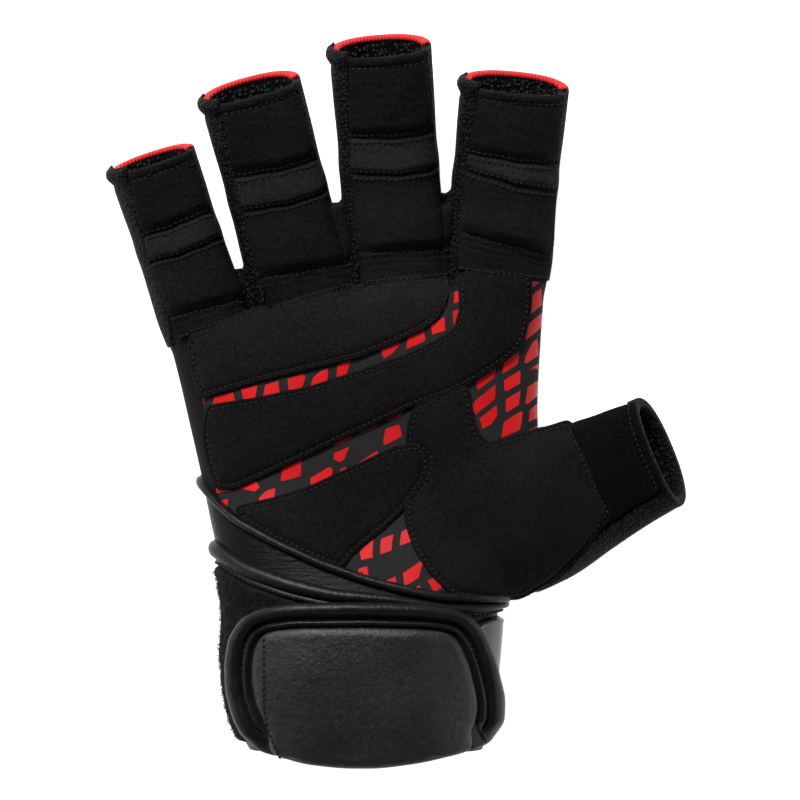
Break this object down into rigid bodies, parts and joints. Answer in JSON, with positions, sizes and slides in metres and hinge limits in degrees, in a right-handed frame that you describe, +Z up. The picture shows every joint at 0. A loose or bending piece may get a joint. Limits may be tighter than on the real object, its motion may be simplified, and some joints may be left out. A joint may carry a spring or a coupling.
{
  "type": "weightlifting glove",
  "caption": "Right-hand half-finger lifting glove lying palm up, with padded suede palm, printed stretch ground, open fingers and a padded leather wrist strap with hook-and-loop closure.",
  "frame": {"origin": "under the middle of the glove's bounding box, on the surface that it lies on", "axes": "+X towards the thumb, +Y towards the fingertips, +Z up, out of the palm"},
  "size_m": [0.1742, 0.2186, 0.0537],
  "materials": {
    "suede": "matt black synthetic suede with a short nap",
    "printed_stretch": null,
    "back_fabric": "matt black stretch fabric",
    "side_knit": "black ribbed mesh knit",
    "rim_knit": "black knitted rim",
    "red_binding": "red woven edge binding",
    "leather": "black grained leather with a soft sheen",
    "loop_pile": "black fuzzy loop pile"
  },
  "bodies": {
    "root": {"side_knit_little": "side_knit", "side_knit_ring": "side_knit", "side_knit_middle": "side_knit", "side_knit_index": "side_knit", "side_knit_thumb": "side_knit", "front_little": "printed_stretch", "front_ring": "printed_stretch", "front_middle": "printed_stretch", "front_index": "printed_stretch", "front_thumb": "printed_stretch", "back_little": "back_fabric", "back_ring": "back_fabric", "back_middle": "back_fabric", "back_index": "back_fabric", "back_thumb": "back_fabric", "palm_panel": "printed_stretch", "back_panel": "back_fabric", "wrist_cuff": "leather", "base_pad_little": "suede", "flex_pad_little": "suede", "tip_pad_little": "suede", "finger_binding_little": "red_binding", "base_pad_ring": "suede", "flex_pad_ring": "suede", "tip_pad_ring": "suede", "finger_binding_ring": "red_binding", "base_pad_middle": "suede", "flex_pad_middle": "suede", "tip_pad_middle": "suede", "finger_binding_middle": "red_binding", "base_pad_index": "suede", "flex_pad_index": "suede", "tip_pad_index": "suede", "finger_binding_index": "red_binding", "thumb_binding": "rim_knit", "upper_palm_pad": "suede", "middle_palm_pad": "suede", "heel_pad": "suede", "thumb_pad": "suede", "thumb_tip_pad": "suede", "palm_piping": "leather", "cuff_band": "leather", "loop_patch": "loop_pile", "wrist_strap": "leather", "strap_flap": "leather", "flap_border": "leather", "flap_panel": "leather", "strap_tab": "leather"}
  },
  "joints": []
}
